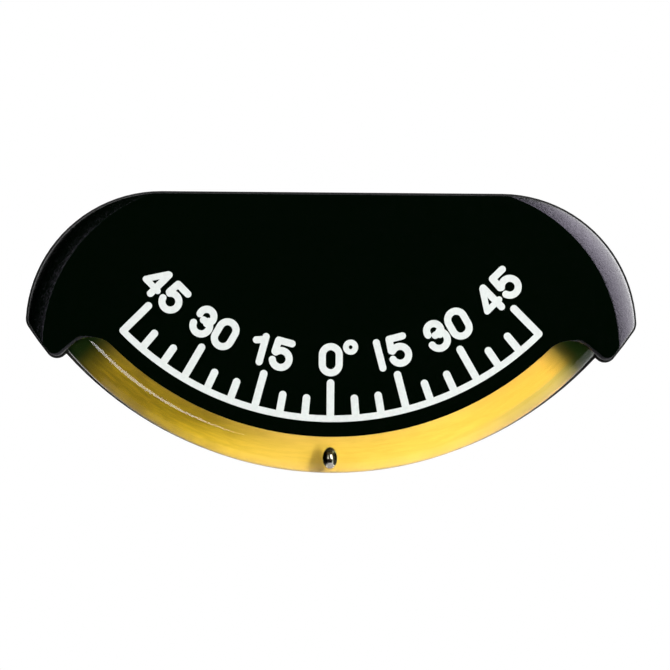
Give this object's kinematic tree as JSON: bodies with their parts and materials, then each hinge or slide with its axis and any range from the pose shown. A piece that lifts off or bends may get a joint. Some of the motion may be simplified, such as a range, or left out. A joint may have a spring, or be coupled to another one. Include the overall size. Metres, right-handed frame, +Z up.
{
  "type": "ball clinometer",
  "caption": "Wall-mounted heel gauge: a black case with an arc scale above a bent, fluid-filled tube in which a steel ball rolls.",
  "frame": {"origin": "centre of the adhesive pad's outer face, on the wall plane", "axes": "+Z up, +X to the right seen from the front, the dial face looks toward -Y, +Y into the wall"},
  "size_m": [0.1252, 0.0131, 0.0575],
  "materials": {
    "case_plastic": "moulded ABS, fine leather grain",
    "plate_plastic": "moulded ABS, satin",
    "white_print": "opaque white screen print",
    "clear_acrylic": "polished clear acrylic",
    "yellow_fluid": "clear yellow-green damping oil",
    "bright_steel": "polished bearing steel",
    "plug_plastic": "moulded nylon",
    "seal_rubber": "nitrile rubber",
    "nylon": "natural nylon",
    "fill_seal_rubber": "silicone rubber",
    "saddle_rubber": "soft EPDM rubber",
    "cushion_foam": "closed-cell foam",
    "yellow_strip": "yellow self-adhesive vinyl",
    "stainless_steel": "stainless steel",
    "pad_foam": "acrylic foam tape"
  },
  "bodies": {
    "case": {"front_cover": "case_plastic", "back_plate": "plate_plastic", "scale_arc": "white_print", "scale_numerals": "white_print", "tube": "clear_acrylic", "damping_fluid": "yellow_fluid", "left_end_plug": "plug_plastic", "right_end_plug": "plug_plastic", "left_plug_seal": "seal_rubber", "right_plug_seal": "seal_rubber", "fill_screw": "nylon", "fill_seal": "fill_seal_rubber", "left_saddle": "saddle_rubber", "right_saddle": "saddle_rubber", "left_end_cushion": "cushion_foam", "right_end_cushion": "cushion_foam", "reflector_strip": "yellow_strip", "cover_screws": "stainless_steel", "adhesive_pad": "pad_foam"},
    "rolling_ball": {"ball": "bright_steel"}
  },
  "joints": [
    {"name": "ball_roll", "type": "hinge", "parent": "case", "child": "rolling_ball", "pos_m": [0, -0.007, 0.038], "axis": [0, -1, 0], "range_deg": [-49, 49]}
  ]
}
